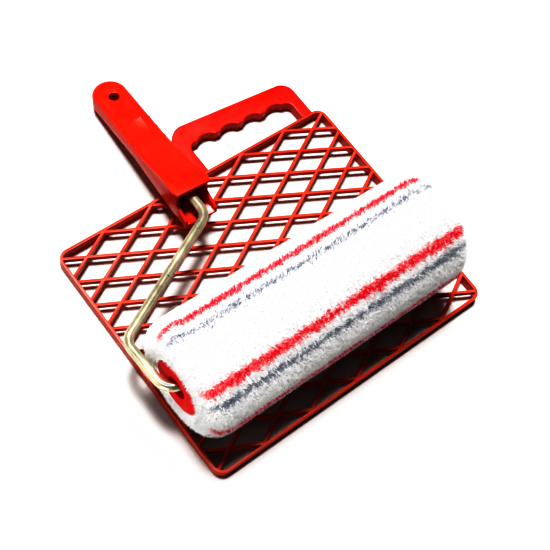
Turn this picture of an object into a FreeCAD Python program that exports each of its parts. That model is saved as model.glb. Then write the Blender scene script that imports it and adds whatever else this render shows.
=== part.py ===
import FreeCAD, Part
import math
import os
import Sketcher
from FreeCAD import Placement, Rotation, Vector

# A paint roller lying on its scraper grid.
# The grid's frame: X along the grip edge, Y towards the grip, Z up, floor at Z = 0, grid centred.
# The roller's frame: X along the axle, Y along the shank, Z square to the bent wire.
# At the end everything is moved so that the origin is the bottom centre of the whole set's box.

SIZES = {
    # scraper grid
    "grid_width": 272.0,
    "grid_depth": 218.0,
    "rim_height": 10.0,
    "rim_wall": 2.2,
    "rim_corner": 9.0,
    "bar_spacing": 21.1,
    "bar_angle": 27.0,
    "bar_top": 2.2,
    "bar_foot": 3.2,
    "bar_depth": 3.8,
    # finger grip moulded onto the grid
    "grip_left": 2.6,
    "grip_right": 127.0,
    "grip_reach_left": 50.0,
    "grip_reach_right": 38.0,
    "grip_leg": 11.0,
    "grip_bar": 20.0,
    "grip_skin": 2.2,
    "grip_round_left": 16.0,
    "grip_round_right": 12.5,
    "grip_round_inner": 6.0,
    "finger_radius": 12.5,
    "finger_sink": 3.4,
    "finger_spacing": 23.0,
    "grip_edge_round": 1.2,
    # wire frame
    "wire_radius": 4.0,
    "leg_straight": 31.5,
    "leg_offset": 7.0,
    "brace_straight": 113.5,
    "brace_angle": 26.7,
    "hub_bend": 13.0,
    "leg_bend": 14.0,
    "shank_bend": 16.0,
    "shank_lean": 3.2,
    "shank_length": 100.0,
    # roller handle
    "handle_length": 155.0,
    "handle_start": -2.0,
    "handle_width": 30.0,
    "handle_thick": 19.0,
    "handle_skin": 2.2,
    "handle_round": 5.0,
    "trough_drop": 5.0,
    "trough_floor": 22.0,
    "trough_slope": 30.0,
    "lip_height": 6.5,
    "mouth_back": 14.0,
    "mouth_step": 9.0,
    "hood_width": 34.0,
    "hood_back": 43.0,
    "hood_front": 9.0,
    "hood_angle": 7.5,
    "hood_thick": 2.2,
    "hood_corner": 2.0,
    "hood_flare_start": 0.3,
    "hood_flare_end": 0.85,
    "butt_flat": 0.05,
    "butt_wall": 48.0,
    "rib_thick": 2.5,
    "rib_first": 72.0,
    "rib_spacing": 12.0,
    "rib_count": 3.0,
    "hang_radius": 4.6,
    "hang_inset": 22.0,
    "panel_length": 32.0,
    "panel_width": 13.0,
    "panel_start": 68.0,
    "panel_sink": 0.5,
    # bushes and what holds them on the wire
    "bush_lead": 3.0,
    "bush_radius": 7.45,
    "bush_length": 20.0,
    "bush_clear": 0.05,
    "end_play": 0.2,
    "collar_radius": 6.2,
    "collar_length": 5.0,
    "retainer_radius": 6.5,
    "retainer_length": 10.0,
    "retainer_skin": 2.0,
    # cover
    "cover_length": 250.0,
    "cap_face": 2.0,
    "cap_skirt": 14.0,
    "cap_wall": 2.0,
    "hub_wall": 3.5,
    "hub_length": 34.0,
    "mouth_radius": 9.3,
    "mouth_depth": 7.0,
    "web_depth": 11.2,
    "web_count": 6.0,
    "core_radius": 22.2,
    "core_wall": 2.0,
    "backing_thick": 1.5,
    "pile_radius": 47.4,
    "pile_end_round": 14.0,
    "pile_bulge": 1.2,
    # how the roller lies on the grid
    "cover_gap": 0.3,
    "floor_gap": 0.4,
    "axle_back": 46.5,
    "cover_left": 136.1,
}

# how near two measures have to be to count as the same
NEAR = 0.01

doc = FreeCAD.newDocument("roller_grid_set")
sheet = doc.addObject("Spreadsheet::Sheet", "sizes")
for row, (alias, value) in enumerate(SIZES.items(), start=1):
    sheet.set(f"A{row}", alias.replace("_", " "))
    sheet.set(f"B{row}", str(value))
    sheet.setAlias(f"B{row}", alias)
doc.recompute()


def size(alias):
    return float(sheet.get(alias))


def number(expression):
    return float(sheet.evalExpression(expression))


# ---------------------------------------------------------------- sketching


def new_body(name):
    body = doc.addObject("PartDesign::Body", name)
    body.Label = name
    return body


def origin_feature(body, role):
    return [item for item in body.Origin.OriginFeatures if item.Role == role][0]


def new_sketch(body, name, plane="XY_Plane", offset=None):
    sketch = body.newObject("Sketcher::SketchObject", name)
    sketch.AttachmentSupport = [(origin_feature(body, plane), "")]
    sketch.MapMode = "FlatFace"
    if offset is not None:
        sketch.AttachmentOffset = offset
    return sketch


def drive(sketch, constraint, expression):
    index = sketch.addConstraint(constraint)
    sketch.setExpression(f"Constraints[{index}]", expression)


def pin(sketch, geometry, point, across, along):
    """Tie a sketch point to two expressions, measured from the sketch's origin."""
    for kind, axis, expression in (("DistanceX", -2, across), ("DistanceY", -1, along)):
        if expression == "0":
            sketch.addConstraint(Sketcher.Constraint("PointOnObject", geometry, point, axis))
        else:
            value = number(expression)
            drive(sketch, Sketcher.Constraint(kind, -1, 1, geometry, point, value), expression)


def outline(sketch, corners):
    """A closed outline of straight lines with every corner tied to the sheet."""
    places = [Vector(number(across), number(along), 0) for across, along in corners]
    lines = []
    for here, there in zip(places, places[1:] + places[:1]):
        lines.append(sketch.addGeometry(Part.LineSegment(here, there)))
    for before, after in zip(lines[-1:] + lines[:-1], lines):
        sketch.addConstraint(Sketcher.Constraint("Coincident", before, 2, after, 1))
    for line, (across, along) in zip(lines, corners):
        pin(sketch, line, 1, across, along)
    return lines


def circle(sketch, across, along, radius):
    centre = Vector(number(across), number(along), 0)
    ring = sketch.addGeometry(Part.Circle(centre, Vector(0, 0, 1), number(radius)))
    if across == "0" and along == "0":
        sketch.addConstraint(Sketcher.Constraint("Coincident", ring, 3, -1, 1))
    else:
        pin(sketch, ring, 3, across, along)
    drive(sketch, Sketcher.Constraint("Radius", ring, number(radius)), radius)


# ---------------------------------------------------------------- features


def pad(body, sketch, length, midplane=False, reverse=False, name="pad"):
    feature = body.newObject("PartDesign::Pad", name)
    feature.Profile = sketch
    feature.setExpression("Length", length)
    feature.Midplane = midplane
    feature.Reversed = reverse
    doc.recompute()
    return feature


def pocket(body, sketch, length, midplane=False, reverse=False, name="pocket"):
    before = body.Shape.Volume
    feature = body.newObject("PartDesign::Pocket", name)
    feature.Profile = sketch
    feature.setExpression("Length", length)
    feature.Midplane = midplane
    feature.Reversed = reverse
    doc.recompute()
    if body.Shape.Volume > before - 1.0:
        raise RuntimeError(f"{body.Label}: {name} cuts nothing")
    return feature


def revolve(body, corners, name="profile"):
    """Turn an outline of (along the axle, radius) corners about the X axis."""
    sketch = new_sketch(body, name)
    outline(sketch, corners)
    feature = body.newObject("PartDesign::Revolution", f"{name}_turned")
    feature.Profile = sketch
    feature.ReferenceAxis = (sketch, ["H_Axis"])
    feature.Angle = 360.0
    doc.recompute()
    return feature


def edges_where(feature, test):
    names = []
    for index, edge in enumerate(feature.Shape.Edges, start=1):
        if test(edge):
            names.append(f"Edge{index}")
    if not names:
        raise RuntimeError(f"{feature.Label}: no edge to round")
    return names


def round_edges(body, test, radius, name="rounded"):
    base = body.Tip
    feature = body.newObject("PartDesign::Fillet", name)
    feature.Base = (base, edges_where(base, test))
    feature.setExpression("Radius", radius)
    doc.recompute()
    return feature


def upright_at(x, y):
    """A test for the edge that stands upright over one point."""

    def test(edge):
        first, last = edge.Vertexes[0].Point, edge.Vertexes[-1].Point
        level = math.hypot(first.x - last.x, first.y - last.y)
        return level < NEAR and math.hypot(first.x - x, first.y - y) < NEAR and edge.Length > NEAR

    return test


def lies_at_height(z):
    def test(edge):
        box = edge.BoundBox
        return abs(box.ZMin - z) < NEAR and abs(box.ZMax - z) < NEAR

    return test


# ---------------------------------------------------------------- places

HALF_WIDTH = size("grid_width") / 2
HALF_DEPTH = size("grid_depth") / 2
HALF_THICK = size("handle_thick") / 2
BUTT = size("handle_start") + size("handle_length")
AXLE_HEIGHT = size("rim_height") + size("cover_gap") + size("pile_radius")

# stations along the axle, from the left rim of the grid to the right
COVER_START = -size("cover_left")
COVER_END = COVER_START + size("cover_length")
LEG_X = COVER_START - size("leg_offset")
NEAR_BUSH = LEG_X + size("hub_bend") + size("bush_lead")
RETAINER_TIP = COVER_END - size("cap_face") - size("end_play")
WIRE_TIP = RETAINER_TIP - size("retainer_skin")
RETAINER_START = RETAINER_TIP - size("retainer_length")
FAR_BUSH = RETAINER_START - size("end_play") - size("bush_length")

# the wire's shape: leg, brace and shank, each tangent to the bend before it
BRACE = math.radians(size("brace_angle"))
LEAN = math.radians(size("shank_lean"))
BRACE_WAY = Vector(math.cos(BRACE), math.sin(BRACE), 0)
SHANK_WAY = Vector(math.sin(LEAN), math.cos(LEAN), 0)


def bend_end(start, way, next_way, radius):
    """Centre and end of an arc that turns from one straight into the next."""
    turn = way.cross(next_way).z
    side = Vector(-way.y, way.x, 0) if turn > 0 else Vector(way.y, -way.x, 0)
    centre = start + side * radius
    next_side = Vector(-next_way.y, next_way.x, 0) if turn > 0 else Vector(next_way.y, -next_way.x, 0)
    return centre, centre - next_side * radius


LEG_FOOT = Vector(LEG_X, size("hub_bend"), 0)
LEG_HEAD = LEG_FOOT + Vector(0, size("leg_straight"), 0)
LEG_CENTRE, BRACE_FOOT = bend_end(LEG_HEAD, Vector(0, 1, 0), BRACE_WAY, size("leg_bend"))
BRACE_HEAD = BRACE_FOOT + BRACE_WAY * size("brace_straight")
SHANK_CENTRE, SHANK_FOOT = bend_end(BRACE_HEAD, BRACE_WAY, SHANK_WAY, size("shank_bend"))
SHANK_TIP = SHANK_FOOT + SHANK_WAY * size("shank_length")

# the roller lies with its cover on the grid and the handle's butt just off the floor
REACH = (SHANK_FOOT + SHANK_WAY * BUTT).y
DROP = AXLE_HEIGHT - size("floor_gap")
TILT = math.asin(DROP / math.hypot(REACH, HALF_THICK)) - math.atan(HALF_THICK / REACH)
ROLLER_PLACE = Placement(
    Vector(0, -size("axle_back"), AXLE_HEIGHT), Rotation(Vector(1, 0, 0), -math.degrees(TILT))
)
HANDLE_PLACE = ROLLER_PLACE * Placement(SHANK_FOOT, Rotation(Vector(0, 0, 1), -size("shank_lean")))


# ---------------------------------------------------------------- scraper grid


def rounded_block(name, inset, height):
    """The grid's plan with its corners rounded, made smaller all round by the inset."""
    block = doc.addObject("Part::Box", f"{name}_block")
    block.setExpression("Length", f"sizes.grid_width - 2 * {inset}")
    block.setExpression("Width", f"sizes.grid_depth - 2 * {inset}")
    block.setExpression("Height", height)
    for axis, span in (("x", "grid_width"), ("y", "grid_depth")):
        block.setExpression(f".Placement.Base.{axis}", f"{inset} - sizes.{span} / 2")
    doc.recompute()
    rounded = doc.addObject("Part::Fillet", name)
    rounded.Base = block
    radius = number(f"sizes.rim_corner - {inset}")
    uprights = []
    for index, edge in enumerate(block.Shape.Edges, start=1):
        if abs(edge.BoundBox.ZLength - block.Height.Value) < NEAR:
            uprights.append((index, radius, radius))
    rounded.Edges = uprights
    doc.recompute()
    return rounded


def lattice_bar(name, turn, offset, reach):
    """One drafted bar: narrow at the top, which is flush with the rim, and wider at its foot."""
    bar = doc.addObject("Part::Wedge", name)
    bar.Xmin = -reach
    bar.Xmax = reach
    bar.X2min = -reach
    bar.X2max = reach
    bar.Ymin = 0
    bar.setExpression("Ymax", "sizes.bar_depth")
    bar.setExpression("Zmin", "-sizes.bar_foot / 2")
    bar.setExpression("Zmax", "sizes.bar_foot / 2")
    bar.setExpression("Z2min", "-sizes.bar_top / 2")
    bar.setExpression("Z2max", "sizes.bar_top / 2")
    stand = Rotation(Vector(1, 0, 0), 90)
    across = Rotation(Vector(0, 0, 1), turn)
    middle = across.multVec(Vector(0, offset, 0))
    middle.z = size("rim_height") - size("bar_depth")
    bar.Placement = Placement(middle, across * stand)
    return bar


def make_roller_grid():
    spacing = size("bar_spacing")
    angle = math.radians(size("bar_angle"))
    reach = math.hypot(HALF_WIDTH, HALF_DEPTH) + spacing
    span = HALF_WIDTH * math.sin(angle) + HALF_DEPTH * math.cos(angle) - size("rim_corner")
    count = int(span / spacing + 0.5)
    bars = []
    for family, turn in (("rising", size("bar_angle")), ("falling", -size("bar_angle"))):
        for step in range(-count, count):
            offset = (step + 0.5) * spacing
            bars.append(lattice_bar(f"{family}_bar_{step + count}", turn, offset, reach))
    crossing = doc.addObject("Part::MultiFuse", "crossing_bars")
    crossing.Shapes = bars
    inside = rounded_block("lattice_outline", "sizes.rim_wall / 2", "sizes.rim_height")
    lattice = doc.addObject("Part::Common", "lattice")
    lattice.Base = crossing
    lattice.Tool = inside
    rim = doc.addObject("Part::Cut", "rim")
    rim.Base = rounded_block("rim_outside", "0", "sizes.rim_height")
    rim.Tool = rounded_block("rim_inside", "sizes.rim_wall", "sizes.rim_height")
    grid = doc.addObject("Part::Fuse", "roller_grid")
    grid.Base = rim
    grid.Tool = lattice
    grid.Label = "roller_grid"
    doc.recompute()
    return grid


def make_grid_handle():
    body = new_body("grid_handle")
    edge = "sizes.grid_depth / 2"
    outer_left = f"({edge} + sizes.grip_reach_left)"
    outer_right = f"({edge} + sizes.grip_reach_right)"
    slope = "((sizes.grip_reach_right - sizes.grip_reach_left) / (sizes.grip_right - sizes.grip_left))"
    inner_left = f"({outer_left} - sizes.grip_bar + {slope} * sizes.grip_leg)"
    inner_right = f"({outer_right} - sizes.grip_bar - {slope} * sizes.grip_leg)"
    left_inside = "sizes.grip_left + sizes.grip_leg"
    right_inside = "sizes.grip_right - sizes.grip_leg"
    plan = new_sketch(body, "grip_plan")
    corners = [
        ("sizes.grip_left", edge),
        ("sizes.grip_left", outer_left),
        ("sizes.grip_right", outer_right),
        ("sizes.grip_right", edge),
        (right_inside, edge),
        (right_inside, inner_right),
        (left_inside, inner_left),
        (left_inside, edge),
    ]
    outline(plan, corners)
    pad(body, plan, "sizes.rim_height", name="grip")
    rounds = ((1, "grip_round_left"), (2, "grip_round_right"), (5, "grip_round_inner"), (6, "grip_round_inner"))
    for corner, radius in rounds:
        x, y = (number(expression) for expression in corners[corner])
        round_edges(body, upright_at(x, y), f"sizes.{radius}", name=f"round_{corner}")
    fingers = new_sketch(body, "finger_recesses")
    middle = "(sizes.grip_left + sizes.grip_right) / 2"
    for step in (-1.5, -0.5, 0.5, 1.5):
        across = f"({middle} + ({step}) * sizes.finger_spacing)"
        bar_edge = f"({outer_left} - sizes.grip_bar + {slope} * ({across} - sizes.grip_left))"
        circle(fingers, across, f"{bar_edge} + sizes.finger_sink - sizes.finger_radius", "sizes.finger_radius")
    pocket(body, fingers, "sizes.rim_height", reverse=True, name="fingers")
    solid_grip = body.Tip
    underside = []
    for index, face in enumerate(solid_grip.Shape.Faces, start=1):
        if abs(face.CenterOfMass.z) < NEAR:
            underside.append(f"Face{index}")
    hollow = body.newObject("PartDesign::Thickness", "hollow_underside")
    hollow.Base = (solid_grip, underside)
    hollow.setExpression("Value", "sizes.grip_skin")
    hollow.Reversed = True
    doc.recompute()
    round_edges(body, lies_at_height(size("rim_height")), "sizes.grip_edge_round", name="soft_top_edge")
    return body


# ---------------------------------------------------------------- wire frame


def make_wire_frame():
    body = new_body("wire_frame")
    path = new_sketch(body, "bent_path")
    tip = Vector(WIRE_TIP, 0, 0)
    hub_end = Vector(LEG_X + size("hub_bend"), 0, 0)
    hub_centre = Vector(LEG_X + size("hub_bend"), size("hub_bend"), 0)
    straights = [
        Part.LineSegment(tip, hub_end),
        Part.LineSegment(LEG_FOOT, LEG_HEAD),
        Part.LineSegment(BRACE_FOOT, BRACE_HEAD),
        Part.LineSegment(SHANK_FOOT, SHANK_TIP),
    ]
    up = Vector(0, 0, 1)
    hub_circle = Part.Circle(hub_centre, up, size("hub_bend"))
    leg_circle = Part.Circle(LEG_CENTRE, up, size("leg_bend"))
    shank_circle = Part.Circle(SHANK_CENTRE, up, size("shank_bend"))
    quarter = math.pi / 2
    bends = [
        Part.ArcOfCircle(hub_circle, 2 * quarter, 3 * quarter),
        Part.ArcOfCircle(leg_circle, BRACE + quarter, 2 * quarter),
        Part.ArcOfCircle(shank_circle, BRACE - quarter, -LEAN),
    ]
    axle, leg, brace, shank = (path.addGeometry(item) for item in straights)
    hub, knee, neck = (path.addGeometry(item) for item in bends)
    for joint in ((hub, 2, axle, 2), (hub, 1, leg, 1), (leg, 2, knee, 2), (knee, 1, brace, 1)):
        path.addConstraint(Sketcher.Constraint("Tangent", *joint))
    for joint in ((brace, 2, neck, 1), (neck, 2, shank, 1)):
        path.addConstraint(Sketcher.Constraint("Tangent", *joint))
    path.addConstraint(Sketcher.Constraint("PointOnObject", axle, 1, -1))
    path.addConstraint(Sketcher.Constraint("PointOnObject", axle, 2, -1))
    path.addConstraint(Sketcher.Constraint("DistanceX", -1, 1, axle, 1, WIRE_TIP))
    path.addConstraint(Sketcher.Constraint("DistanceX", -1, 1, leg, 1, LEG_X))
    path.addConstraint(Sketcher.Constraint("Vertical", leg))
    for bend, radius in ((hub, "hub_bend"), (knee, "leg_bend"), (neck, "shank_bend")):
        drive(path, Sketcher.Constraint("Radius", bend, size(radius)), f"sizes.{radius}")
    for line, length in ((leg, "leg_straight"), (brace, "brace_straight"), (shank, "shank_length")):
        drive(path, Sketcher.Constraint("Distance", line, size(length)), f"sizes.{length}")
    path.addConstraint(Sketcher.Constraint("Angle", -1, 1, brace, 1, BRACE))
    path.addConstraint(Sketcher.Constraint("Angle", -1, 1, shank, 1, quarter - LEAN))
    section_place = Placement(Vector(0, 0, WIRE_TIP), Rotation())
    section = new_sketch(body, "wire_section", "YZ_Plane", section_place)
    circle(section, "0", "0", "sizes.wire_radius")
    doc.recompute()
    pipe = body.newObject("PartDesign::AdditivePipe", "bent_wire")
    pipe.Profile = section
    pipe.Spine = (path, [])
    pipe.Mode = "Frenet"
    doc.recompute()
    body.Placement = ROLLER_PLACE
    return body


# ---------------------------------------------------------------- roller handle


def make_handle_shell():
    body = new_body("handle_shell")
    start = "sizes.handle_start"
    butt = f"({start} + sizes.handle_length)"
    half = "(sizes.handle_thick / 2)"
    mouth = f"({start} + sizes.mouth_back)"
    roof = f"({half} + (sizes.hood_back - {mouth}) * tan(sizes.hood_angle))"
    floor = f"({half} + sizes.trough_drop)"
    floor_end = f"({start} + sizes.trough_floor)"
    slope_end = f"({floor_end} + sizes.trough_slope)"
    side = new_sketch(body, "side_profile", "YZ_Plane")
    corners = [
        (butt, f"-{half}"),
        (butt, half),
        ("sizes.hood_back", half),
        (mouth, roof),
        (mouth, f"sizes.mouth_step - {half}"),
        (start, f"sizes.lip_height - {floor}"),
        (start, f"-{floor}"),
        (floor_end, f"-{floor}"),
        (slope_end, f"-{half}"),
    ]
    outline(side, corners)
    pad(body, side, "sizes.handle_width", midplane=True, name="handle")
    half_width = size("handle_width") / 2
    butt_round = "sizes.handle_width / 2 - sizes.butt_flat"
    for x in (-half_width, half_width):
        round_edges(body, upright_at(x, BUTT), butt_round, name="butt_round")

    def grip_edge(edge):
        box = edge.BoundBox
        flat = box.ZLength < NEAR and abs(abs(box.ZMin) - HALF_THICK) < NEAR
        return flat and box.YLength > NEAR

    round_edges(body, grip_edge, "sizes.handle_round", name="grip_round")
    skin = "sizes.handle_skin"
    inner_half = f"({half} - {skin})"
    cavity = new_sketch(body, "cavity_profile", "YZ_Plane")
    cavity_end = f"({butt} - sizes.butt_wall)"
    cavity_corners = [
        (cavity_end, f"-{inner_half}"),
        (cavity_end, inner_half),
        ("sizes.hood_back", inner_half),
        (mouth, f"{roof} - {skin}"),
        (f"{start} - {skin}", f"{roof} - {skin}"),
        (f"{start} - {skin}", f"{skin} - {floor}"),
        (floor_end, f"{skin} - {floor}"),
        (slope_end, f"-{inner_half}"),
    ]
    outline(cavity, cavity_corners)
    pocket(body, cavity, f"sizes.handle_width - 2 * {skin}", midplane=True, name="hollow")
    rib = new_sketch(body, "rib_section", "XZ_Plane", Placement(Vector(0, 0, -size("rib_first")), Rotation()))
    across = f"(sizes.handle_width / 2 - {skin} / 2)"
    tall = f"({half} - {skin} / 2)"
    outline(rib, [(f"-{across}", f"-{tall}"), (across, f"-{tall}"), (across, tall), (f"-{across}", tall)])
    circle(rib, "0", "0", "sizes.wire_radius")
    first_rib = pad(body, rib, "sizes.rib_thick", reverse=True, name="rib")
    ribs = body.newObject("PartDesign::LinearPattern", "ribs")
    ribs.Originals = [first_rib]
    ribs.Direction = (origin_feature(body, "Y_Axis"), [""])
    ribs.setExpression("Length", "sizes.rib_spacing * (sizes.rib_count - 1)")
    ribs.setExpression("Occurrences", "sizes.rib_count")
    body.Tip = ribs
    doc.recompute()
    make_hood(body)
    hanging = new_sketch(body, "hanging_hole")
    circle(hanging, "0", f"{butt} - sizes.hang_inset", "sizes.hang_radius")
    pocket(body, hanging, "2 * sizes.handle_thick", midplane=True, name="hang_hole")
    top = Placement(Vector(0, 0, HALF_THICK - size("panel_sink")), Rotation())
    panel = new_sketch(body, "panel_plan", "XY_Plane", top)
    panel_half = "(sizes.panel_width / 2)"
    panel_end = "(sizes.panel_start + sizes.panel_length)"
    outline(panel, [
        (f"-{panel_half}", "sizes.panel_start"),
        (panel_half, "sizes.panel_start"),
        (panel_half, panel_end),
        (f"-{panel_half}", panel_end),
    ])
    pocket(body, panel, "sizes.handle_skin", reverse=True, name="label_panel")
    body.Placement = HANDLE_PLACE
    return body


def make_hood(body):
    rise = Rotation(Vector(1, 0, 0), -size("hood_angle"))
    base = Vector(0, size("hood_back"), HALF_THICK - size("hood_thick"))
    plan = new_sketch(body, "hood_plan", "XY_Plane", Placement(base, rise))
    length = "((sizes.hood_back - sizes.hood_front) / cos(sizes.hood_angle))"
    root = "(sizes.handle_width / 2 - sizes.handle_round)"
    side = "(sizes.handle_width / 2)"
    brow = "(sizes.hood_width / 2)"
    outline(plan, [
        (root, "0"),
        (f"-{root}", "0"),
        (f"-{side}", f"-sizes.hood_flare_start * {length}"),
        (f"-{brow}", f"-sizes.hood_flare_end * {length}"),
        (f"sizes.hood_corner - {brow}", f"-{length}"),
        (f"{brow} - sizes.hood_corner", f"-{length}"),
        (brow, f"-sizes.hood_flare_end * {length}"),
        (side, f"-sizes.hood_flare_start * {length}"),
    ])
    pad(body, plan, "sizes.hood_thick", name="hood")


# ---------------------------------------------------------------- on the axle


def axle_part(name, corners):
    body = new_body(name)
    revolve(body, corners)
    body.Placement = ROLLER_PLACE
    return body


def ring_corners(start, length, inner, outer):
    end = f"({start} + {length})"
    return [(str(start), inner), (end, inner), (end, outer), (str(start), outer)]


def make_axle_parts():
    bore = "(sizes.wire_radius + sizes.bush_clear)"
    parts = [axle_part("near_bush", ring_corners(NEAR_BUSH, "sizes.bush_length", bore, "sizes.bush_radius"))]
    parts.append(axle_part("far_bush", ring_corners(FAR_BUSH, "sizes.bush_length", bore, "sizes.bush_radius")))
    near_collar = NEAR_BUSH + size("bush_length") + size("end_play")
    far_collar = FAR_BUSH - size("end_play") - size("collar_length")
    for name, start in (("near_bush_collar", near_collar), ("far_bush_collar", far_collar)):
        corners = ring_corners(start, "sizes.collar_length", "sizes.wire_radius", "sizes.collar_radius")
        parts.append(axle_part(name, corners))
    cup_end = str(WIRE_TIP)
    parts.append(axle_part("end_retainer", [
        (str(RETAINER_START), "sizes.wire_radius"),
        (cup_end, "sizes.wire_radius"),
        (cup_end, "0"),
        (str(RETAINER_TIP), "0"),
        (str(RETAINER_TIP), "sizes.retainer_radius - sizes.retainer_skin"),
        (cup_end, "sizes.retainer_radius"),
        (str(RETAINER_START), "sizes.retainer_radius"),
    ]))
    return parts


# ---------------------------------------------------------------- cover


def cap_corners(face, inward, closed):
    """A cap's half section: face flange, skirt inside the core and a long hub for the bush.
    The open cap's mouth is wider than its bore, so the wire's bend can swing past it."""
    rim = "sizes.core_radius"
    skirt = "(sizes.core_radius - sizes.core_wall)"
    skirt_inside = f"({skirt} - sizes.cap_wall)"
    bore = "(sizes.bush_radius + sizes.bush_clear)"
    hub = f"({bore} + sizes.hub_wall)"
    flange = f"({face} + {inward} * sizes.cap_face)"
    skirt_end = f"({flange} + {inward} * sizes.cap_skirt)"
    hub_end = f"({face} + {inward} * sizes.hub_length)"
    corners = [
        (hub_end, bore),
        (hub_end, hub),
        (flange, hub),
        (flange, skirt_inside),
        (skirt_end, skirt_inside),
        (skirt_end, skirt),
        (flange, skirt),
        (flange, rim),
        (str(face), rim),
    ]
    if closed:
        return corners + [(str(face), "0"), (flange, "0"), (flange, bore)]
    mouth_end = f"({face} + {inward} * sizes.mouth_depth)"
    return corners + [(str(face), "sizes.mouth_radius"), (mouth_end, "sizes.mouth_radius"), (mouth_end, bore)]


def make_cap(name, face, inward, closed):
    body = new_body(name)
    revolve(body, cap_corners(face, inward, closed))
    web_start = f"({face} + {inward} * sizes.cap_face / 2)"
    web_end = f"({face} + {inward} * (sizes.cap_face + sizes.web_depth))"
    hub = "(sizes.bush_radius + sizes.bush_clear + sizes.hub_wall / 2)"
    skirt = "(sizes.core_radius - sizes.core_wall - sizes.cap_wall / 2)"
    web = new_sketch(body, "web_section")
    outline(web, [(web_start, hub), (web_end, hub), (web_end, skirt), (web_start, skirt)])
    first_web = pad(body, web, "sizes.cap_wall", midplane=True, name="web")
    webs = body.newObject("PartDesign::PolarPattern", "webs")
    webs.Originals = [first_web]
    webs.Axis = (origin_feature(body, "X_Axis"), [""])
    webs.Angle = 360.0
    webs.setExpression("Occurrences", "sizes.web_count")
    body.Tip = webs
    doc.recompute()
    body.Placement = ROLLER_PLACE
    return body


def make_cover():
    start = f"({COVER_START} + sizes.cap_face)"
    length = "(sizes.cover_length - 2 * sizes.cap_face)"
    core = "sizes.core_radius"
    ground = "(sizes.core_radius + sizes.backing_thick)"
    parts = [
        axle_part("core_tube", ring_corners(start, length, f"({core} - sizes.core_wall)", core)),
        make_cap("near_cap", COVER_START, 1, False),
        make_cap("far_cap", COVER_END, -1, True),
        axle_part("fleece_backing", ring_corners(start, length, core, ground)),
    ]
    pile = new_body("fleece_pile")
    pile_start = f"({COVER_START} - sizes.pile_bulge)"
    pile_length = "(sizes.cover_length + 2 * sizes.pile_bulge)"
    revolve(pile, ring_corners(pile_start, pile_length, ground, "sizes.pile_radius"))
    reach = size("pile_radius")

    def end_edge(edge):
        box = edge.BoundBox
        return box.XLength < NEAR and abs(box.ZMax - reach) < NEAR

    round_edges(pile, end_edge, "sizes.pile_end_round", name="combed_ends")
    pile.Placement = ROLLER_PLACE
    parts.append(pile)
    return parts


# ---------------------------------------------------------------- the whole set

sub_parts = [make_roller_grid(), make_grid_handle(), make_wire_frame(), make_handle_shell()]
sub_parts += make_axle_parts()
sub_parts += make_cover()
doc.recompute()

for item in doc.Objects:
    if "Invalid" in item.State or "Error" in item.State:
        raise RuntimeError(f"{item.Name} is not sound: {item.State}")

# the origin is the bottom centre of the whole set's box
whole = FreeCAD.BoundBox()
for part in sub_parts:
    whole.add(part.Shape.optimalBoundingBox())
to_origin = Placement(Vector(-whole.Center.x, -whole.Center.y, -whole.ZMin), Rotation())
for part in sub_parts:
    part.Placement = to_origin * part.Placement
doc.recompute()

os.makedirs("parts", exist_ok=True)
for part in sub_parts:
    if part.Shape.isNull() or not part.Shape.isValid():
        raise RuntimeError(f"{part.Label} has no sound shape")
    part.Shape.exportStep(f"parts/{part.Label}.step")
    box = part.Shape.BoundBox
    print(
        f"{part.Label:18s} solids {len(part.Shape.Solids)} volume {part.Shape.Volume:10.0f}",
        f"x {box.XMin:7.1f} {box.XMax:7.1f} y {box.YMin:7.1f} {box.YMax:7.1f} z {box.ZMin:6.1f} {box.ZMax:6.1f}",
    )
print(f"origin moved by {to_origin.Base}, tilt {math.degrees(TILT):.2f} degrees")
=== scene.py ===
"""A fleece paint roller lying on its scraper grid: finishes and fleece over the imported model."""

import math

import bmesh
import bpy
import numpy as np
from mathutils import Matrix, Vector, noise


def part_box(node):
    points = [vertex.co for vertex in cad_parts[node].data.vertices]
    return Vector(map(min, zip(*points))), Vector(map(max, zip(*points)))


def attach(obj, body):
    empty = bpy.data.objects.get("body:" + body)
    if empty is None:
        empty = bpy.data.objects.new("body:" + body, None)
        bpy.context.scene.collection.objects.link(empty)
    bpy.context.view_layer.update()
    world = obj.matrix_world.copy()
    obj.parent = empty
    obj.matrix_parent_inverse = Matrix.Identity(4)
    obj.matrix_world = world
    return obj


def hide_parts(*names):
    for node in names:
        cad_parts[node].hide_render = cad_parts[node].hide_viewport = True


bl_info = {
    "name": "Paint roller and scraper grid",
    "version": (1, 0, 0),
    "blender": (4, 5, 0),
    "location": "View3D > Sidebar > Roller",
    "description": "Finishes a fleece paint roller lying on its moulded scraper grid",
    "category": "Object",
}

MM = 0.001

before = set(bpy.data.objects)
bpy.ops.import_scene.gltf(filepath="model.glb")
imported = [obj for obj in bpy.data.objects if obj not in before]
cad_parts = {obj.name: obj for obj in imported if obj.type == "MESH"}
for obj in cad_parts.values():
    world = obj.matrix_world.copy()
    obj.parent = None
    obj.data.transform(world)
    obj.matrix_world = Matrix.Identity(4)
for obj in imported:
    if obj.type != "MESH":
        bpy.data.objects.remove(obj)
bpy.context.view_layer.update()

# where the cover lies: its axle runs along X
pile_low, pile_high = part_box("fleece_pile")
cap_low, cap_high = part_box("near_cap")
AXLE_Y = (pile_low.y + pile_high.y) / 2
AXLE_Z = (pile_low.z + pile_high.z) / 2
PILE_RADIUS = (pile_high.z - pile_low.z) / 2
CORE_RADIUS = (cap_high.z - cap_low.z) / 2


# ---------------------------------------------------------------- what a user would change


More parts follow.
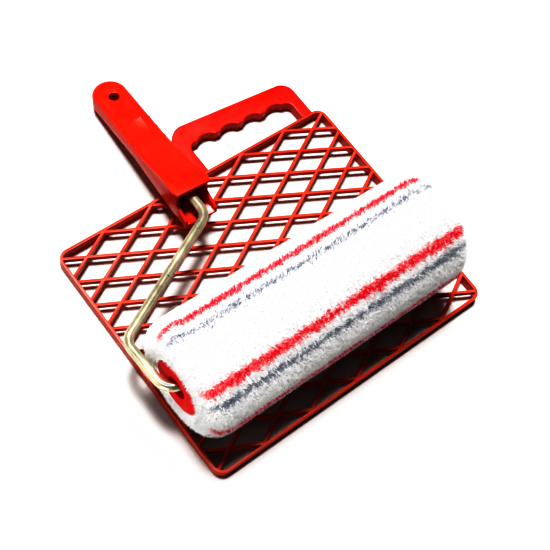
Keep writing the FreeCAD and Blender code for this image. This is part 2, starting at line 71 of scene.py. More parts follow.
class RollerSizes(bpy.types.PropertyGroup):
    tuft_length: bpy.props.FloatProperty(
        name="Tuft length",
        description="Length of one lock of pile fibres",
        default=3.4 * MM,
        unit="LENGTH",
    )
    tuft_width: bpy.props.FloatProperty(
        name="Tuft width",
        description="Width of one lock of pile fibres at its foot",
        default=0.55 * MM,
        unit="LENGTH",
    )
    tuft_density: bpy.props.FloatProperty(
        name="Tufts per square metre",
        description="How many locks of fibre stand on a square metre of fleece",
        default=2.0e6,
    )
    red_stripe: bpy.props.FloatProperty(
        name="Red stripe",
        description="Width of a red stripe knitted into the fleece",
        default=6.6 * MM,
        unit="LENGTH",
    )
    grey_stripe: bpy.props.FloatProperty(
        name="Grey stripe",
        description="Width of the grey stripe beside each red one",
        default=4.4 * MM,
        unit="LENGTH",
    )
    stripe_pair: bpy.props.FloatProperty(
        name="Stripe pair",
        description="Angle round the cover from a red stripe to its grey one",
        default=math.radians(16.5),
        subtype="ANGLE",
    )
    moulded_edge: bpy.props.FloatProperty(
        name="Moulded edge",
        description="Rounding left by the mould on the plastic's outer edges",
        default=0.45 * MM,
        unit="LENGTH",
    )
    lattice_edge: bpy.props.FloatProperty(
        name="Lattice edge",
        description="Rounding on the edges of the grid's thin bars",
        default=0.3 * MM,
        unit="LENGTH",
    )


def colour_setting(name, description, default):
    return bpy.props.FloatVectorProperty(
        name=name,
        description=description,
        subtype="COLOR",
        size=3,
        min=0.0,
        max=1.0,
        default=default,
    )


class RollerColours(bpy.types.PropertyGroup):
    handle_red: colour_setting("Handle red", "Red of the moulded handle", (0.62, 0.030, 0.008))
    grid_red: colour_setting("Grid red", "Orange red of the lattice", (0.52, 0.045, 0.012))
    # painted light: the grip is the grid's own plastic, given a brighter red for the light on its
    # flat top
    grip_red_painted_light: colour_setting("Grip red", "Brighter red of the finger grip", (0.54, 0.014, 0.002))
    cap_red: colour_setting("Cap red", "Red of the cover's end caps", (0.62, 0.001, 0.002))
    plated_wire: colour_setting("Plated wire", "Zinc plating of the wire", (0.68, 0.63, 0.47))
    plain_steel: colour_setting(
        "Plain steel", "Colour of the pressed steel rings on the axle", (0.55, 0.55, 0.53)
    )
    bush_white: colour_setting("Bush white", "White of the bearing bushes", (0.80, 0.80, 0.74))
    core_grey: colour_setting("Core grey", "Grey of the cover's plastic tube", (0.42, 0.43, 0.44))
    fleece_white: colour_setting("Fleece white", "Undyed pile", (0.97, 0.97, 0.98))
    fleece_red: colour_setting("Fleece red", "Dyed red pile", (0.92, 0.004, 0.04))
    fleece_grey: colour_setting("Fleece grey", "Dyed grey pile", (0.33, 0.35, 0.42))
    knit_white: colour_setting("Knit white", "Knitted ground under the pile", (0.70, 0.70, 0.68))
    floor_pale: colour_setting("Floor", "The pale studio floor", (0.62, 0.62, 0.62))


# ---------------------------------------------------------------- materials


CLOUD_ROUGHNESS = 0.55


class Finish:
    """A material being built: its node tree and its one shader."""

    def __init__(self, name, colour, roughness, **sockets):
        self.material = bpy.data.materials.new(name)
        self.material.use_nodes = True
        self.tree = self.material.node_tree
        self.shader = self.tree.nodes["Principled BSDF"]
        self.shader.inputs["Base Color"].default_value = (*colour, 1.0)
        self.shader.inputs["Roughness"].default_value = roughness
        for socket, value in sockets.items():
            self.shader.inputs[socket.replace("_", " ")].default_value = value
        self.where = self.tree.nodes.new("ShaderNodeTexCoord").outputs["Object"]
        self.bumps = None

    def node(self, kind, **settings):
        made = self.tree.nodes.new(kind)
        for key, value in settings.items():
            setattr(made, key, value)
        return made

    def link(self, start, end):
        self.tree.links.new(start, end)

    def stretched(self, scale):
        """Object coordinates stretched by a scale for each axis."""
        mapping = self.node("ShaderNodeMapping")
        mapping.inputs["Scale"].default_value = scale
        self.link(self.where, mapping.inputs["Vector"])
        return mapping.outputs["Vector"]

    def clouds(self, scale, detail=3.0, where=None):
        """Soft noise from 0 to 1, on object coordinates unless others are given."""
        texture = self.node("ShaderNodeTexNoise")
        texture.inputs["Scale"].default_value = scale
        texture.inputs["Detail"].default_value = detail
        texture.inputs["Roughness"].default_value = CLOUD_ROUGHNESS
        self.link(where or self.where, texture.inputs["Vector"])
        return texture.outputs["Fac"]

    def ramp(self, value, low, high, start=0.0, end=1.0):
        """The value stretched so that low..high becomes start..end."""
        spread = self.node("ShaderNodeMapRange")
        self.link(value, spread.inputs["Value"])
        spread.inputs["From Min"].default_value = low
        spread.inputs["From Max"].default_value = high
        spread.inputs["To Min"].default_value = start
        spread.inputs["To Max"].default_value = end
        return spread.outputs["Result"]

    def blend(self, share, first, second):
        """Two colours, plain or linked, mixed by a linked share."""
        mix = self.node("ShaderNodeMix", data_type="RGBA")
        self.link(share, mix.inputs["Factor"])
        # the colour sockets of this node come after its number and vector sockets
        for socket, colour in ((mix.inputs[6], first), (mix.inputs[7], second)):
            if isinstance(colour, tuple):
                socket.default_value = colour
            else:
                self.link(colour, socket)
        return mix.outputs[2]

    def paint(self, colour):
        self.link(colour, self.shader.inputs["Base Color"])

    def gloss(self, roughness):
        self.link(roughness, self.shader.inputs["Roughness"])

    def bump(self, height, depth, strength=1.0):
        """Raises the surface by a height in metres; several bumps are chained."""
        bump = self.node("ShaderNodeBump")
        bump.inputs["Distance"].default_value = depth
        bump.inputs["Strength"].default_value = strength
        self.link(height, bump.inputs["Height"])
        if self.bumps is not None:
            self.link(self.bumps, bump.inputs["Normal"])
        self.bumps = bump.outputs["Normal"]
        self.link(self.bumps, self.shader.inputs["Normal"])

    def attribute(self, name):
        return self.node("ShaderNodeAttribute", attribute_name=name).outputs["Fac"]


def shade(colour, factor):
    return tuple(min(1.0, part * factor) for part in colour) + (1.0,)


def moulded_plastic(name, colour, roughness, scuffs=0.5, shine=0.3):
    """Injection moulded plastic: flow clouds, mould grain, rubbed patches and hairline scuffs."""
    finish = Finish(name, colour, roughness, Specular_IOR_Level=shine)
    flow = finish.clouds(22.0, 4.0)
    body = finish.blend(
        finish.ramp(flow, 0.35, 0.65), shade(colour, 0.86), shade(colour, 1.06)
    )
    hairs = finish.clouds(160.0, 2.0, finish.stretched((1.0, 0.06, 1.0)))
    marks = finish.ramp(hairs, 0.66, 0.76, 0.0, 0.22 * scuffs)
    dusty = tuple(part * 0.75 + 0.12 for part in colour) + (1.0,)
    finish.paint(finish.blend(marks, body, dusty))
    rubbed = finish.clouds(45.0, 5.0)
    finish.gloss(finish.ramp(rubbed, 0.3, 0.7, roughness - 0.07, roughness + 0.12))
    finish.bump(finish.clouds(1500.0, 2.0), 0.02 * MM, 0.5)
    finish.bump(hairs, 0.015 * MM, 0.4 * scuffs)
    finish.bump(finish.clouds(60.0, 1.0), 0.12 * MM, 0.35)
    return finish.material


def plated_metal(name, colour, roughness):
    """Plated metal: cloudy plating, a fine grain and small dull spots."""
    finish = Finish(name, colour, roughness, Metallic=0.72)
    cloud = finish.clouds(70.0, 5.0)
    spots = finish.ramp(finish.clouds(620.0, 3.0), 0.6, 0.72, 0.0, 0.55)
    tone = finish.blend(finish.ramp(cloud, 0.3, 0.7), shade(colour, 0.82), shade(colour, 1.1))
    finish.paint(finish.blend(spots, tone, shade(colour, 0.55)))
    finish.gloss(finish.ramp(cloud, 0.3, 0.7, roughness - 0.06, roughness + 0.12))
    finish.bump(finish.clouds(900.0, 3.0), 0.012 * MM, 0.6)
    return finish.material


def knitted_ground(name, colour):
    """Knitted fabric: rows of loops."""
    finish = Finish(name, colour, 0.95, Sheen_Weight=0.4, Specular_IOR_Level=0.15)
    loops = finish.node("ShaderNodeTexWave", wave_type="BANDS", bands_direction="X")
    loops.inputs["Scale"].default_value = 320.0
    loops.inputs["Distortion"].default_value = 4.0
    finish.link(finish.where, loops.inputs["Vector"])
    finish.paint(finish.blend(loops.outputs["Fac"], shade(colour, 0.8), shade(colour, 1.1)))
    finish.bump(loops.outputs["Fac"], 0.2 * MM, 0.8)
    return finish.material


def fleece_finish(name, colours, shadow):
    """Cut pile: white, with painted shade between its locks, and the two dyes read from the piece.
    """
    finish = Finish(
        name,
        colours.fleece_white,
        1.0,
        Specular_IOR_Level=0.05,
        Sheen_Weight=0.1,
        Sheen_Roughness=0.6,
        Subsurface_Weight=0.2,
        Subsurface_Radius=(1.6, 1.5, 1.5),
        Subsurface_Scale=1.0 * MM,
    )
    white = tuple(colours.fleece_white)
    # painted shade: lock-sized clouds darken the white between the locks and lighten it a little
    # on them
    lock = finish.ramp(finish.clouds(420.0, 3.0), 0.3, 0.7)
    pile = finish.blend(lock, shade(white, shadow), shade(white, 1.03))
    grey = finish.blend(finish.attribute("grey_dye"), pile, (*colours.fleece_grey, 1.0))
    red = finish.blend(finish.attribute("red_dye"), grey, (*colours.fleece_red, 1.0))
    finish.paint(red)
    finish.bump(finish.clouds(1300.0, 3.0), 0.5 * MM, 0.6)
    return finish.material


def studio_floor(name, colour):
    """A pale, slightly uneven floor."""
    finish = Finish(name, colour, 0.6, Specular_IOR_Level=0.2)
    tone = finish.ramp(finish.clouds(3.0, 3.0), 0.3, 0.7)
    finish.paint(finish.blend(tone, shade(colour, 0.995), shade(colour, 1.005)))
    finish.bump(finish.clouds(600.0, 2.0), 0.02 * MM, 0.3)
    return finish.material


# ---------------------------------------------------------------- meshes


def add_object(name, mesh):
    made = bpy.data.objects.new(name, mesh)
    bpy.context.scene.collection.objects.link(made)
    return made


def dress(made, material):
    made.data.materials.clear()
    made.data.materials.append(material)


def smooth(mesh, angle):
    mesh.shade_smooth()
    mesh.set_sharp_from_angle(angle=math.radians(angle))


WELD = 0.002 * MM
FLAT_ENOUGH = math.radians(1.0)


def merged_copy(node, name):
    """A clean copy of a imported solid: loose triangles joined and flat faces made whole."""
    shape = bmesh.new()
    shape.from_mesh(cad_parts[node].data)
    bmesh.ops.remove_doubles(shape, verts=shape.verts, dist=WELD)
    bmesh.ops.dissolve_limit(
        shape, angle_limit=FLAT_ENOUGH, verts=shape.verts, edges=shape.edges
    )
    mesh = bpy.data.meshes.new(name)
    shape.to_mesh(mesh)
    shape.free()
    return add_object(name, mesh)


SHARP_EDGE = math.radians(30.0)


def soften(made, width):
    """Round the sharp edges that a mould would leave a little soft."""
    bevel = made.modifiers.new("moulded_edge", "BEVEL")
    bevel.width = width
    bevel.segments = 2
    bevel.limit_method = "ANGLE"
    bevel.angle_limit = SHARP_EDGE
    bevel.use_clamp_overlap = True
    bevel.harden_normals = False
    evaluated = made.evaluated_get(bpy.context.evaluated_depsgraph_get())
    mesh = bpy.data.meshes.new_from_object(evaluated)
    made.modifiers.remove(bevel)
    old = made.data
    made.data = mesh
    bpy.data.meshes.remove(old)
    mesh.name = made.name


def stand_in(node, name, body, material, edge=None, angle=32.0):
    """A copy of a node with softened edges that is shown in its place."""
    made = merged_copy(node, name)
    if edge:
        soften(made, edge)
    smooth(made.data, angle)
    dress(made, material)
    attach(made, body)
    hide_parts(node)


# ---------------------------------------------------------------- fleece

# angles round the cover, from straight up towards the front, where red stripes run
RED_STRIPES = [math.radians(angle) for angle in (-36.0, 35.5, 91.0, 168.0, 240.0)]


# the combed body of the pile lies inside its CAD solid, and loose tips fill the rest
END_INSET = 1.2 * MM
SIDE_INSET = 1.6 * MM
BORE_GAP = 0.9 * MM
SHOULDER = 15.0 * MM  # rounding of the pile's two ends
TUCK_ROWS = 5  # rows of points that turn in behind each cap, a millimetre apart


def cover_profile(step):
    """Half section of the fleece as (along the axle, radius): in, out, along and back in."""
    start, end = pile_low.x + END_INSET, pile_high.x - END_INSET
    outer = PILE_RADIUS - SIDE_INSET
    inner = CORE_RADIUS + BORE_GAP
    bend = SHOULDER
    face = outer - bend - inner
    quarter = bend * math.pi / 2
    points = []
    for index in range(TUCK_ROWS):
        points.append((start + (TUCK_ROWS - index) * 1.0 * MM, inner))
    count = int(face / step)
    for index in range(count):
        share = index / count
        points.append((start, inner + face * share))
    count = int(quarter / step)
    for index in range(count):
        turn = math.pi / 2 * index / count
        points.append((start + bend * (1 - math.cos(turn)), outer - bend * (1 - math.sin(turn))))
    straight = end - start - 2 * bend
    count = int(straight / step)
    for index in range(count):
        points.append((start + bend + straight * index / count, outer))
    middle = (start + end) / 2
    half = [point for point in points if point[0] < middle]
    mirrored = [(2 * middle - along, radius) for along, radius in reversed(half)]
    return half + mirrored


STRIPE_RADIUS = 30.0 * MM  # stripes don't crowd together nearer the axle than this


def stripe_distance(angles, radii, centres):
    """Distance in metres along the surface from each point to the nearest stripe's middle."""
    nearest = np.full(angles.shape, 1.0)
    for centre in centres:
        apart = np.abs((angles - centre + math.pi) % (2 * math.pi) - math.pi)
        nearest = np.minimum(nearest, apart * np.maximum(radii, STRIPE_RADIUS))
    return nearest


UNDER_DYE = 0.5  # the dye is weaker deep in the pile
SOFT_EDGE = 1.6 * MM


def stripe_mask(apart, width):
    """How strongly a stripe of this width dyes points at these distances."""
    return np.clip((width / 2 - apart) / SOFT_EDGE + 0.5, 0.0, 1.0)


def combed_noise(along, radii, turns):
    """How far each point stands off the body, and how far the stripes sway sideways there."""
    lift = np.zeros((len(along), len(turns)))
    sway = np.zeros((len(along), len(turns)))
    for i in range(len(along)):
        for j in range(len(turns)):
            place = Vector(
                (along[i], math.sin(turns[j]) * radii[i], math.cos(turns[j]) * radii[i])
            )
            lump = noise.noise(place * 240.0)
            swell = noise.noise(place * 45.0)
            lock = noise.noise(place * 520.0)
            lift[i, j] = (0.35 * lump + 0.30 * swell + 0.25 * lock) * MM
            short = noise.noise(Vector((place.x * 190.0, turns[j] * 9.0, 3.0)))
            long = noise.noise(Vector((place.x * 30.0, turns[j] * 2.0, 9.0)))
            sway[i, j] = short * 1.9 * MM
            sway[i, j] += long * 1.2 * MM
    return lift, sway


def ringed_mesh(name, places, rows, around):
    """A closed surface over rows of points that each run once round."""
    i, j = np.meshgrid(np.arange(rows - 1), np.arange(around), indexing="ij")
    after = (j + 1) % around
    quads = np.stack(
        [i * around + j, (i + 1) * around + j, (i + 1) * around + after, i * around + after],
        axis=-1,
    ).reshape(-1, 4)
    # the first and last rings are joined by a hidden tube so that the shape is closed
    j = np.arange(around)
    after = (j + 1) % around
    last = (rows - 1) * around
    tube = np.stack([last + j, j, after, last + after], axis=-1)
    faces = np.concatenate([quads, tube])
    mesh = bpy.data.meshes.new(name)
    mesh.vertices.add(len(places))
    mesh.vertices.foreach_set("co", places.astype(np.float32).ravel())
    mesh.loops.add(faces.size)
    mesh.loops.foreach_set("vertex_index", faces.ravel().astype(np.int32))
    mesh.polygons.add(len(faces))
    mesh.polygons.foreach_set("loop_start", (np.arange(len(faces)) * 4).astype(np.int32))
    mesh.polygons.foreach_set("loop_total", np.full(len(faces), 4, np.int32))
    mesh.update(calc_edges=True)
    shape = bmesh.new()
    shape.from_mesh(mesh)
    bmesh.ops.recalc_face_normals(shape, faces=shape.faces)
    shape.to_mesh(mesh)
    shape.free()
    return mesh


BODY_STEP = 1.25 * MM  # between the body's rows of points
BODY_POINTS = 230  # in each row, round the cover
FIRM_ROWS = 4  # rows at each cap that stay smooth
LOOSENING_ROWS = 8.0  # rows after them over which the pile loosens
# near the first end the combed stripes swing towards the top
SWING_REACH = 30.0 * MM
SWING_TURN = math.radians(12.0)
SWING_CENTRE = math.radians(324)
SWING_SPREAD = 0.6
# share of the pile's depth, on its end faces, where the dye begins and how fast it rises
DYE_START = 0.55
DYE_RISE = 0.3


def fleece_body_mesh(sizes):
    """The combed body of the pile: a lumpy surface of revolution with its stripes marked."""
    profile = cover_profile(BODY_STEP)
    rows = len(profile)
    along = np.array([point[0] for point in profile])
    radii = np.array([point[1] for point in profile])
    turns = np.arange(BODY_POINTS) * 2 * math.pi / BODY_POINTS
    lift, sway = combed_noise(along, radii, turns)
    edge = np.minimum(np.arange(rows), np.arange(rows)[::-1])
    loose = np.clip((edge - FIRM_ROWS) / LOOSENING_ROWS, 0.0, 1.0)[:, None]
    around = np.broadcast_to(turns[None, :], lift.shape)
    out = radii[:, None] + lift * loose

    near = np.clip((SWING_REACH - (along - along.min())) / SWING_REACH, 0, 1)
    swing = (near ** 2)[:, None] * SWING_TURN
    swing = swing * np.exp(-((around - SWING_CENTRE) / SWING_SPREAD) ** 2)
    marked = around + swing
    red = stripe_distance(marked, out, RED_STRIPES) + sway
    grey_stripes = [centre + sizes.stripe_pair for centre in RED_STRIPES]
    grey = stripe_distance(marked, out, grey_stripes) + sway * 0.9
    depth = np.clip((radii - CORE_RADIUS) / (PILE_RADIUS - CORE_RADIUS), 0, 1)
    fade = np.clip((depth - DYE_START) / DYE_RISE, 0.0, 1.0)[:, None] * np.ones(lift.shape)

    x = np.broadcast_to(along[:, None], lift.shape)
    y = AXLE_Y - np.sin(around) * out
    z = AXLE_Z + np.cos(around) * out
    places = np.stack([x, y, z], axis=-1).reshape(-1, 3)
    mesh = ringed_mesh("fleece_body", places, rows, BODY_POINTS)
    marks = {
        "red_apart": red,
        "grey_apart": grey,
        "dye_fade": fade,
        "red_dye": stripe_mask(red, sizes.red_stripe) * fade * UNDER_DYE,
        "grey_dye": stripe_mask(grey, sizes.grey_stripe) * fade * UNDER_DYE,
    }
    for mark, values in marks.items():
        layer = mesh.attributes.new(mark, "FLOAT", "POINT")
        layer.data.foreach_set("value", values.astype(np.float32).ravel())
    mesh.shade_smooth()
    return mesh


class Tree:
    """A geometry node tree being built, with named inputs."""

    def __init__(self, name):
        self.group = bpy.data.node_groups.new(name, "GeometryNodeTree")
        for way in ("INPUT", "OUTPUT"):
            self.group.interface.new_socket(
                "Geometry", in_out=way, socket_type="NodeSocketGeometry"
            )
        self.entry = self.group.nodes.new("NodeGroupInput")
        self.exit = self.group.nodes.new("NodeGroupOutput")

    def setting(self, name, kind):
        """A named input of the tree; returns the key that a modifier knows it by."""
        socket = self.group.interface.new_socket(name, in_out="INPUT", socket_type=kind)
        return socket.identifier

    def node(self, kind, **settings):
        made = self.group.nodes.new(kind)
        for key, value in settings.items():
            setattr(made, key, value)
        return made

    def link(self, start, end):
        self.group.links.new(start, end)

    def feed(self, node, values):
        """Sets or links a node's inputs, by name or number."""
        for socket, value in values.items():
            target = node.inputs[socket]
            if isinstance(value, bpy.types.NodeSocket):
                self.link(value, target)
            else:
                target.default_value = value

    def operate(self, kind, operation, values):
        node = self.node(kind, operation=operation)
        self.feed(node, dict(enumerate(values)))
        return node.outputs

    def maths(self, operation, *values):
        return self.operate("ShaderNodeMath", operation, values)[0]

    def vectors(self, operation, *values):
        return self.operate("ShaderNodeVectorMath", operation, values)[0]

    def scaled(self, vector, factor):
        node = self.node("ShaderNodeVectorMath", operation="SCALE")
        self.feed(node, {0: vector, "Scale": factor})
        return node.outputs[0]

    def drift(self, position, scale):
        """Smooth noise over the object."""
        node = self.node("ShaderNodeTexNoise", noise_dimensions="3D")
        self.feed(node, {"Vector": position, "Scale": scale, "Detail": 2.0})
        return node.outputs

    def mark(self, name):
        """An attribute of the mesh."""
        node = self.node("GeometryNodeInputNamedAttribute", data_type="FLOAT")
        node.inputs["Name"].default_value = name
        return node.outputs["Attribute"]

    def random(self, low, high, seed):
        node = self.node("FunctionNodeRandomValue", data_type="FLOAT")
        self.feed(node, {2: low, 3: high, "Seed": seed})
        return node.outputs[1]


TUFT_INPUTS = {
    "Density": "NodeSocketFloat",
    "Length": "NodeSocketFloat",
    "Width": "NodeSocketFloat",
    "From": "NodeSocketFloat",
    "To": "NodeSocketFloat",
    "Red Width": "NodeSocketFloat",
    "Grey Width": "NodeSocketFloat",
    "Seed": "NodeSocketInt",
    "Finish": "NodeSocketMaterial",
}
BARE_RIM = 2.2 * MM  # no locks grow this near the core
DYE_SOFT = 0.5 * MM
LEAN_NOISE = 260.0
LEAN_SHARED = 2.1
LEAN_OWN = 0.4
LEAN_UPRIGHT = 0.9
LEAST_RISE = 0.45  # a lock never points back into the body
SHORTEST_LOCK = 0.55  # against the longest
# for each dye: its distance from the stripe, the stripe's width, how far it strays, its seed
DYES = {
    "red_dye": ("red_apart", "Red Width", 15.0 * MM, 21),
    "grey_dye": ("grey_apart", "Grey Width", 22.0 * MM, 22),
}


def faces_of_stretch(tree, given, position):
    """Only the faces of this stretch of the cover, and none of the tucked-in ends."""
    parts = tree.node("ShaderNodeSeparateXYZ")
    tree.link(position, parts.inputs[0])
    after = tree.maths("GREATER_THAN", parts.outputs["X"], given["From"])
    before = tree.maths("LESS_THAN", parts.outputs["X"], given["To"])
    across = tree.maths("SUBTRACT", parts.outputs["Y"], AXLE_Y)
    up = tree.maths("SUBTRACT", parts.outputs["Z"], AXLE_Z)
    squares = tree.maths(
        "ADD", tree.maths("MULTIPLY", across, across), tree.maths("MULTIPLY", up, up)
    )
    radius = tree.maths("SQRT", squares)
    outside = tree.maths("GREATER_THAN", radius, CORE_RADIUS + BARE_RIM)
    return tree.maths("MULTIPLY", tree.maths("MULTIPLY", after, before), outside)


def dyed_points(tree, given, position, points):
    """The dye of each lock: its distance from the stripe, roughened lock by lock."""
    for mark, (apart, width, stray, seed) in DYES.items():
        rough = tree.random(-1.0 * MM, 1.6 * MM, seed)
        sway = tree.drift(position, 330.0 + 10.0 * seed)["Fac"]
        swing = tree.maths("MULTIPLY_ADD", sway, stray, rough)
        distance = tree.maths("ADD", tree.mark(apart), swing)
        half = tree.maths("MULTIPLY", given[width], 0.5)
        half = tree.maths("ADD", half, 0.5 * stray)
        room = tree.maths("SUBTRACT", half, distance)
        share = tree.node("ShaderNodeMapRange")
        tree.feed(share, {"Value": room, "From Min": -DYE_SOFT, "From Max": DYE_SOFT})
        dyed = tree.maths("MULTIPLY", share.outputs["Result"], tree.mark("dye_fade"))
        store = tree.node("GeometryNodeStoreNamedAttribute", data_type="FLOAT", domain="POINT")
        tree.feed(store, {"Geometry": points, "Name": mark, "Value": dyed})
        points = store.outputs["Geometry"]
    return points


def leaning(tree, position, normal):
    """Neighbouring locks lean alike, with a little of their own."""
    centred = tree.vectors("SUBTRACT", tree.drift(position, LEAN_NOISE)["Color"], (0.5, 0.5, 0.5))
    own = tree.node("FunctionNodeRandomValue", data_type="FLOAT_VECTOR")
    tree.feed(own, {0: (-LEAN_OWN,) * 3, 1: (LEAN_OWN,) * 3, "Seed": 31})
    lean = tree.vectors("ADD", tree.scaled(centred, LEAN_SHARED), own.outputs[0])
    way = tree.vectors("ADD", tree.scaled(normal, LEAN_UPRIGHT), lean)
    rise = tree.operate("ShaderNodeVectorMath", "DOT_PRODUCT", (way, normal))["Value"]
    push = tree.maths("MAXIMUM", tree.maths("SUBTRACT", LEAST_RISE, rise), 0.0)
    align = tree.node("FunctionNodeAlignRotationToVector", axis="Z")
    raised = tree.vectors("ADD", way, tree.scaled(normal, push))
    tree.link(raised, align.inputs["Vector"])
    return align.outputs["Rotation"]


def tuft_tree():
    """Locks of pile scattered over the fleece: each leans and keeps its stripe's dye."""
    tree = Tree("fleece_tufts")
    keys = {name: tree.setting(name, kind) for name, kind in TUFT_INPUTS.items()}
    given = tree.entry.outputs
    position = tree.node("GeometryNodeInputPosition").outputs["Position"]
    scatter = tree.node("GeometryNodeDistributePointsOnFaces", distribute_method="RANDOM")
    tree.feed(scatter, {
        "Mesh": given["Geometry"],
        "Density": given["Density"],
        "Seed": given["Seed"],
        "Selection": faces_of_stretch(tree, given, position),
    })
    points = dyed_points(tree, given, position, scatter.outputs["Points"])

    # one lock: a thin three-sided spike
    lock = tree.node("GeometryNodeMeshCone", fill_type="NONE")
    tree.feed(lock, {
        "Vertices": 3,
        "Side Segments": 1,
        "Radius Top": 0.0,
        "Radius Bottom": tree.maths("MULTIPLY", given["Width"], 0.5),
        "Depth": given["Length"],
    })
    stretch = tree.node("ShaderNodeCombineXYZ")
    tree.feed(stretch, {"X": 1.0, "Y": 1.0, "Z": tree.random(SHORTEST_LOCK, 1.0, 41)})
    place = tree.node("GeometryNodeInstanceOnPoints")
    tree.feed(place, {
        "Points": points,
        "Instance": lock.outputs["Mesh"],
        "Rotation": leaning(tree, position, scatter.outputs["Normal"]),
        "Scale": stretch.outputs["Vector"],
    })
    real = tree.node("GeometryNodeRealizeInstances")
    tree.link(place.outputs["Instances"], real.inputs[0])
    coat = tree.node("GeometryNodeSetMaterial")
    tree.feed(coat, {"Geometry": real.outputs[0], "Material": given["Finish"]})
    tree.link(coat.outputs[0], tree.exit.inputs[0])
    return tree.group, keys


def grown_mesh(name, base, group, values):
    """Run a node tree over a mesh and keep the result as a plain mesh."""
    carrier = add_object(name, base)
    modifier = carrier.modifiers.new("growth", "NODES")
    modifier.node_group = group
    for key, value in values.items():
        modifier[key] = value
    evaluated = carrier.evaluated_get(bpy.context.evaluated_depsgraph_get())
    mesh = bpy.data.meshes.new_from_object(evaluated)
    carrier.modifiers.remove(modifier)
    carrier.data = mesh
    mesh.name = name
    return carrier


# ---------------------------------------------------------------- stage

# tone curve of the picture between black and white, as (light in, light out)
TONES = ((0.08, 0.02), (0.3, 0.2), (0.55, 0.67), (0.76, 0.97), (0.87, 1.0))
ORIGIN = Vector((0.0, 0.0, 0.0))
FLOOR_HALF = 90.0
SUN_PLACE = (0.03, 0.26, 1.0)
SUN_WHITE = (1.0, 0.99, 0.97)
SIDE_PLACE = (-1.0, 0.35, 0.42)
END_PLACE = (-0.72, -0.36, 0.14)
END_AIM = Vector((-0.13, AXLE_Y - 10.0 * MM, AXLE_Z - 8.0 * MM))
SURROUND = (1.0, 0.90, 0.76, 1.0)
SURROUND_STRENGTH = 0.035
CAMERA_LENS = 72.0
CAMERA_PLACE = (-0.34676, -0.29369, 0.78916)
CAMERA_RIGHT = Vector((0.77823, -0.60484, 0.16893))
CAMERA_UP = Vector((0.4862, 0.75058, 0.44749))


def develop(settings):
    """A contrasty studio picture: plain colours with a gentle curve over them."""
    settings.view_transform = "Standard"
    settings.use_curve_mapping = True
    combined = settings.curve_mapping.curves[3]
    for light, out in TONES:
        combined.points.new(light, out)
    settings.curve_mapping.update()


def add_light(kind, name, energy, place, aim, **settings):
    """A light at a place, turned towards what it lights."""
    light = bpy.data.lights.new(name, kind)
    light.energy = energy
    for key, value in settings.items():
        setattr(light, key, value)
    made = add_object(name, light)
    made.location = place
    made.rotation_euler = (Vector(place) - aim).to_track_quat("Z", "Y").to_euler()


# ---------------------------------------------------------------- operators


class ROLLERSET_OT_stage(bpy.types.Operator):
    """Make the pale floor, the lights and the camera"""

    bl_idname = "rollerset.stage"
    bl_label = "Stage"

    def execute(self, context):
        colours = context.scene.roller_colours
        mesh = bpy.data.meshes.new("floor")
        corners = [(-1, -1), (1, -1), (1, 1), (-1, 1)]
        mesh.from_pydata(
            [(x * FLOOR_HALF, y * FLOOR_HALF, 0) for x, y in corners], [], [(0, 1, 2, 3)]
        )
        floor = add_object("floor", mesh)
        dress(floor, studio_floor("studio_floor", tuple(colours.floor_pale)))

        add_light(
            "SUN", "overhead", 4.8, SUN_PLACE, ORIGIN, angle=math.radians(15.0), color=SUN_WHITE
        )
        add_light("AREA", "side_fill", 1.4, SIDE_PLACE, ORIGIN, size=0.6)
        add_light(
            "SPOT",
            "end_light",
            8.0,
            END_PLACE,
            END_AIM,
            spot_size=math.radians(11.0),
            spot_blend=0.6,
            shadow_soft_size=0.06,
        )

        world = bpy.data.worlds.new("studio")
        world.use_nodes = True
        background = world.node_tree.nodes["Background"]
        background.inputs["Color"].default_value = SURROUND
        background.inputs["Strength"].default_value = SURROUND_STRENGTH
        context.scene.world = world
        develop(context.scene.view_settings)

        camera = bpy.data.cameras.new("camera")
        camera.lens = CAMERA_LENS
        camera.sensor_width = 36.0
        stand = add_object("camera", camera)
        back = CAMERA_RIGHT.cross(CAMERA_UP)
        turn = Matrix((CAMERA_RIGHT, CAMERA_UP, back)).transposed().to_4x4()
        stand.matrix_world = Matrix.Translation(CAMERA_PLACE) @ turn
        context.scene.camera = stand
        return {"FINISHED"}


class ROLLERSET_OT_grid(bpy.types.Operator):
    """Finish the moulded lattice and its finger grip"""

    bl_idname = "rollerset.grid"
    bl_label = "Scraper grid"

    def execute(self, context):
        sizes, colours = context.scene.roller_sizes, context.scene.roller_colours
        lattice = moulded_plastic("grid_plastic_red", tuple(colours.grid_red), roughness=0.36)
        # painted light: the grip's brighter red stands in for the light on its flat top
        grip = moulded_plastic("grip_plastic_painted_light", tuple(colours.grip_red_painted_light), roughness=0.33)
        edge = sizes.lattice_edge
        stand_in("roller_grid", "grid_lattice", "grid", lattice, edge)
        stand_in("grid_handle", "finger_grip", "grid", grip)
        return {"FINISHED"}


class ROLLERSET_OT_handle(bpy.types.Operator):
    """Finish the roller's moulded handle"""

    bl_idname = "rollerset.handle"
    bl_label = "Roller handle"

    def execute(self, context):
        sizes, colours = context.scene.roller_sizes, context.scene.roller_colours
        plastic = moulded_plastic("handle_plastic_red", tuple(colours.handle_red), roughness=0.3)
        edge = sizes.moulded_edge
        stand_in("handle_shell", "handle_body", "frame", plastic, edge)
        return {"FINISHED"}


RING_EDGE = 0.3 * MM
BEARING_EDGE = 0.4 * MM


class ROLLERSET_OT_wire(bpy.types.Operator):
    """Finish the bent wire and the pressed rings on its axle"""

    bl_idname = "rollerset.wire"
    bl_label = "Wire frame"

    def execute(self, context):
        colours = context.scene.roller_colours
        plating = plated_metal("zinc_plating", tuple(colours.plated_wire), roughness=0.3)
        steel = plated_metal("ring_steel", tuple(colours.plain_steel), roughness=0.34)
        stand_in("wire_frame", "bent_wire", "frame", plating, angle=40.0)
        for node in ("near_bush_collar", "far_bush_collar", "end_retainer"):
            stand_in(node, f"{node}_ring", "frame", steel, RING_EDGE)
        return {"FINISHED"}


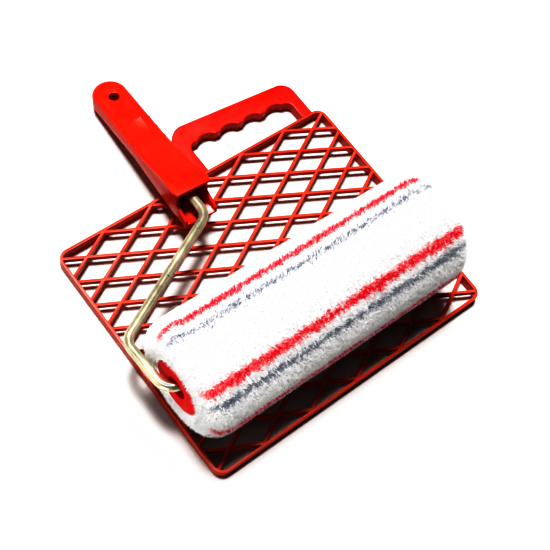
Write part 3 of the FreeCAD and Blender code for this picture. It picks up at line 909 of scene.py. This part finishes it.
class ROLLERSET_OT_bearings(bpy.types.Operator):
    """Finish the bushes, the end caps and the tube inside the cover"""

    bl_idname = "rollerset.bearings"
    bl_label = "Bushes, caps and core"

    def execute(self, context):
        colours = context.scene.roller_colours
        nylon = moulded_plastic(
            "bush_nylon", tuple(colours.bush_white), roughness=0.42, scuffs=0.3
        )
        cap = moulded_plastic(
            "cap_plastic_red", tuple(colours.cap_red), roughness=0.5, scuffs=0.1, shine=0.12
        )
        tube = moulded_plastic(
            "core_plastic_grey", tuple(colours.core_grey), roughness=0.5, scuffs=0.3
        )
        for node in ("near_bush", "far_bush"):
            stand_in(node, f"{node}_sleeve", "bushes", nylon, BEARING_EDGE)
        for node in ("near_cap", "far_cap"):
            stand_in(node, f"{node}_disc", "cover", cap, BEARING_EDGE)
        stand_in("core_tube", "cover_tube", "cover", tube)
        knit = knitted_ground("knitted_ground", tuple(colours.knit_white))
        stand_in("fleece_backing", "fleece_ground", "cover", knit)
        return {"FINISHED"}


STRETCHES = 4  # pieces that the loose tips are split into along the cover
FIRST_SEED = 11
# painted shade between the locks: deeper on the combed body, down in the pile, than on the loose
# tips
BODY_PAINTED_SHADE = 0.93
TIP_PAINTED_SHADE = 0.97


class ROLLERSET_OT_fleece(bpy.types.Operator):
    """Grow the striped fleece over the cover"""

    bl_idname = "rollerset.fleece"
    bl_label = "Striped fleece"

    def execute(self, context):
        sizes, colours = context.scene.roller_sizes, context.scene.roller_colours
        deep = fleece_finish("fleece_depth_painted_shade", colours, BODY_PAINTED_SHADE)
        tips = fleece_finish("fleece_tips", colours, TIP_PAINTED_SHADE)
        mesh = fleece_body_mesh(sizes)
        group, keys = tuft_tree()
        start, end = pile_low.x, pile_high.x
        for index in range(STRETCHES):
            first = start + (end - start) * index / STRETCHES
            last = start + (end - start) * (index + 1) / STRETCHES
            values = {
                "Density": sizes.tuft_density,
                "Length": sizes.tuft_length,
                "Width": sizes.tuft_width,
                "From": first,
                "To": last,
                "Red Width": sizes.red_stripe,
                "Grey Width": sizes.grey_stripe,
                "Seed": FIRST_SEED + index,
                "Finish": tips,
            }
            tufts = grown_mesh(
                f"fleece_tufts_{index + 1}",
                mesh.copy(),
                group,
                {keys[name]: value for name, value in values.items()},
            )
            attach(tufts, "cover")
        body = add_object("fleece_body", mesh)
        dress(body, deep)
        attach(body, "cover")
        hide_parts("fleece_pile")
        return {"FINISHED"}


STEPS = (
    ROLLERSET_OT_stage,
    ROLLERSET_OT_grid,
    ROLLERSET_OT_handle,
    ROLLERSET_OT_wire,
    ROLLERSET_OT_bearings,
    ROLLERSET_OT_fleece,
)


class ROLLERSET_PT_panel(bpy.types.Panel):
    """Sizes, colours and steps of the roller and its grid"""

    bl_idname = "ROLLERSET_PT_panel"
    bl_label = "Roller and grid"
    bl_space_type = "VIEW_3D"
    bl_region_type = "UI"
    bl_category = "Roller"

    def draw(self, context):
        for settings in (context.scene.roller_sizes, context.scene.roller_colours):
            column = self.layout.column()
            for name in settings.__annotations__:
                column.prop(settings, name)
        for step in STEPS:
            self.layout.operator(step.bl_idname)


CLASSES = (RollerSizes, RollerColours, *STEPS, ROLLERSET_PT_panel)


def register():
    for item in CLASSES:
        bpy.utils.register_class(item)
    bpy.types.Scene.roller_sizes = bpy.props.PointerProperty(type=RollerSizes)
    bpy.types.Scene.roller_colours = bpy.props.PointerProperty(type=RollerColours)


def unregister():
    del bpy.types.Scene.roller_colours
    del bpy.types.Scene.roller_sizes
    for item in reversed(CLASSES):
        bpy.utils.unregister_class(item)


def main():
    register()
    for step in STEPS:
        group, name = step.bl_idname.split(".")
        getattr(getattr(bpy.ops, group), name)()


if __name__ == "__main__":
    main()
